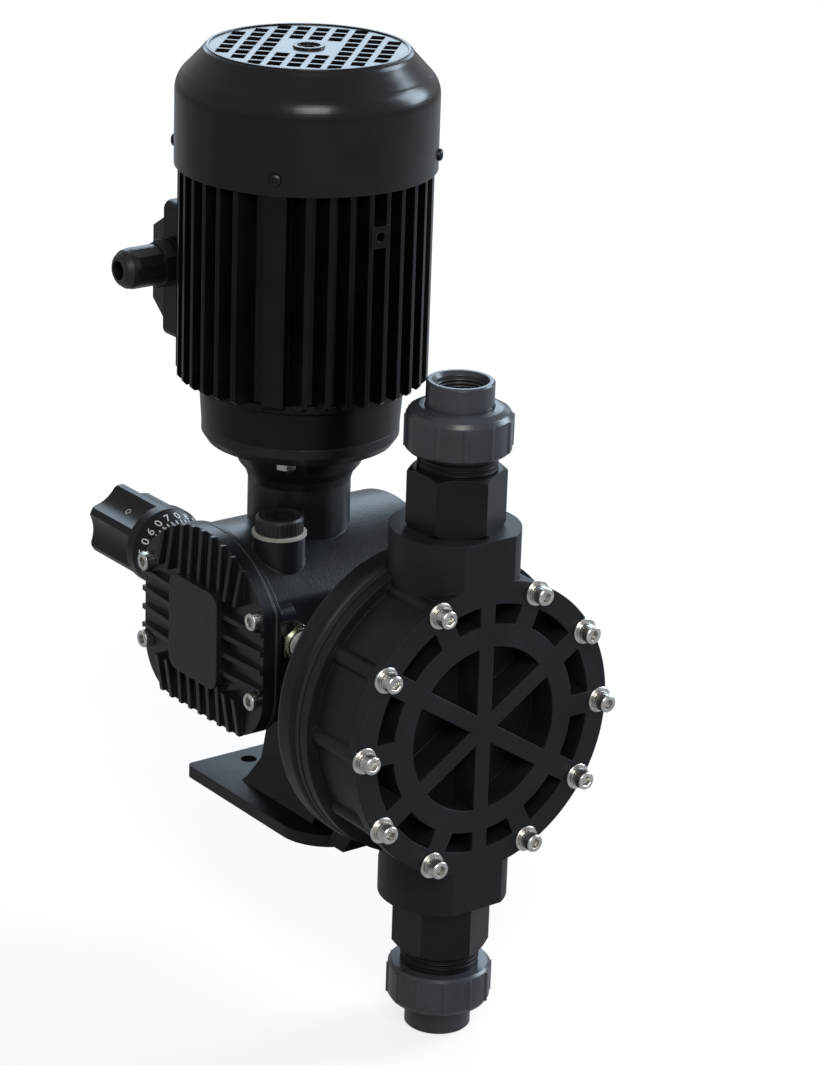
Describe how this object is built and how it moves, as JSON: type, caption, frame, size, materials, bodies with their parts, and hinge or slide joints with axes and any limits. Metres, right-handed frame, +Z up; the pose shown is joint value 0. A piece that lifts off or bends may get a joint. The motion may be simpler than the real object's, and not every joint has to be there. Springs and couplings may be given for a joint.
{
  "type": "diaphragm metering pump",
  "caption": "Motor-driven diaphragm dosing pump: flanged motor on a finned worm gearbox, ribbed round pump head with union ports above and below, lobed stroke knob",
  "frame": {"origin": "centre of the foot's four bolt holes, on the underside of the foot", "axes": "+Z up along the motor axis, -Y towards the pump head, +Y towards the stroke knob, -X towards the ribbed gearbox cover"},
  "size_m": [0.173, 0.3684, 0.5152],
  "materials": {
    "cast_paint": "black textured paint on cast iron and cast aluminium",
    "motor_paint": "satin black paint",
    "stainless": "stainless steel, turned and rolled",
    "steel": "ground and oiled steel",
    "zinc_plate": "bright zinc plate",
    "head_plastic": "black glass-filled polypropylene",
    "union_plastic": "dark grey rigid PVC",
    "knob_plastic": "black moulded phenolic",
    "cap_plastic": "black nylon",
    "seat_plastic": "natural PTFE",
    "gasket_grey": "light grey fibre and rubber",
    "elastomer": "black elastomer",
    "bronze": "cast bronze",
    "copper": "varnished copper wire",
    "lamination": "stacked electrical steel",
    "sight_glass": "clear domed glass",
    "ball_glass": "borosilicate glass ball"
  },
  "bodies": {
    "pump": {"mounting_bracket": "cast_paint", "gearbox_housing": "cast_paint", "side_cover": "cast_paint", "cover_gasket": "gasket_grey", "cover_screws": "stainless", "pedestal_bolts": "zinc_plate", "filler_plug": "cap_plastic", "filler_gasket": "gasket_grey", "sight_glass_body": "zinc_plate", "sight_glass_lens": "sight_glass", "drain_plug": "zinc_plate", "adjuster_housing": "cast_paint", "flange_bolts": "zinc_plate", "drive_end_shield": "motor_paint", "motor_frame": "motor_paint", "fan_end_shield": "motor_paint", "fan_cowl": "motor_paint", "cowl_screws": "zinc_plate", "stator_core": "lamination", "stator_windings": "copper", "motor_bearings": "steel", "worm_bearings": "steel", "shaft_seal": "elastomer", "terminal_box": "motor_paint", "terminal_box_lid": "motor_paint", "lid_screws": "zinc_plate", "terminal_block": "seat_plastic", "gland_body": "cap_plastic", "gland_nut": "cap_plastic", "wheel_bearings": "steel", "rod_bush": "bronze", "rod_seal": "elastomer", "return_spring": "steel", "diaphragm": "elastomer", "pump_head": "head_plastic", "head_bolts": "stainless", "head_washers": "stainless", "head_spring_washers": "stainless", "discharge_valve_body": "union_plastic", "suction_valve_body": "union_plastic", "valve_seats": "seat_plastic", "discharge_union_nut": "union_plastic", "suction_union_nut": "union_plastic", "discharge_tail": "union_plastic", "suction_tail": "union_plastic", "union_o_rings": "elastomer"},
    "rotor": {"rotor_core": "lamination", "motor_shaft": "steel", "cooling_fan": "cap_plastic", "worm_shaft": "steel"},
    "wheel": {"worm_wheel": "bronze", "eccentric_shaft": "steel", "eccentric_cams": "steel"},
    "rod": {"drive_yoke": "steel", "diaphragm_plate": "stainless"},
    "knob": {"stroke_knob": "knob_plastic", "knob_set_screw": "stainless"},
    "spindle": {"adjusting_spindle": "steel"},
    "suction_check": {"suction_ball": "ball_glass"},
    "discharge_check": {"discharge_ball": "ball_glass"}
  },
  "joints": [
    {"name": "rotor_spin", "type": "hinge", "parent": "pump", "child": "rotor", "pos_m": [0, 0.0405, 0.2], "axis": [0, 0, 1], "continuous": true},
    {"name": "wheel_spin", "type": "hinge", "parent": "pump", "child": "wheel", "pos_m": [0, 0.0145, 0.087], "axis": [1, 0, 0], "continuous": true},
    {"name": "rod_slide", "type": "slide", "parent": "pump", "child": "rod", "axis": [0, -1, 0], "range_m": [0, 0.006], "stiffness_N_per_m": 4000, "springref_m": -0.004, "deforming": ["return_spring", "diaphragm"]},
    {"name": "knob_turn", "type": "hinge", "parent": "pump", "child": "knob", "pos_m": [0, 0.2, 0.0907], "axis": [0, 1, 0], "range_deg": [-234, 126]},
    {"name": "spindle_slide", "type": "slide", "parent": "pump", "child": "spindle", "axis": [0, 1, 0], "range_m": [-0.00391, 0.00211]},
    {"name": "suction_lift", "type": "slide", "parent": "pump", "child": "suction_check", "axis": [0, 0, 1], "range_m": [0, 0.003]},
    {"name": "discharge_lift", "type": "slide", "parent": "pump", "child": "discharge_check", "axis": [0, 0, 1], "range_m": [0, 0.003]}
  ],
  "couplings": [
    {"joint": "wheel_spin", "follows": "rotor_spin", "ratio": -0.041667},
    {"joint": "spindle_slide", "follows": "knob_turn", "m_per_rad": 0.00095493}
  ]
}
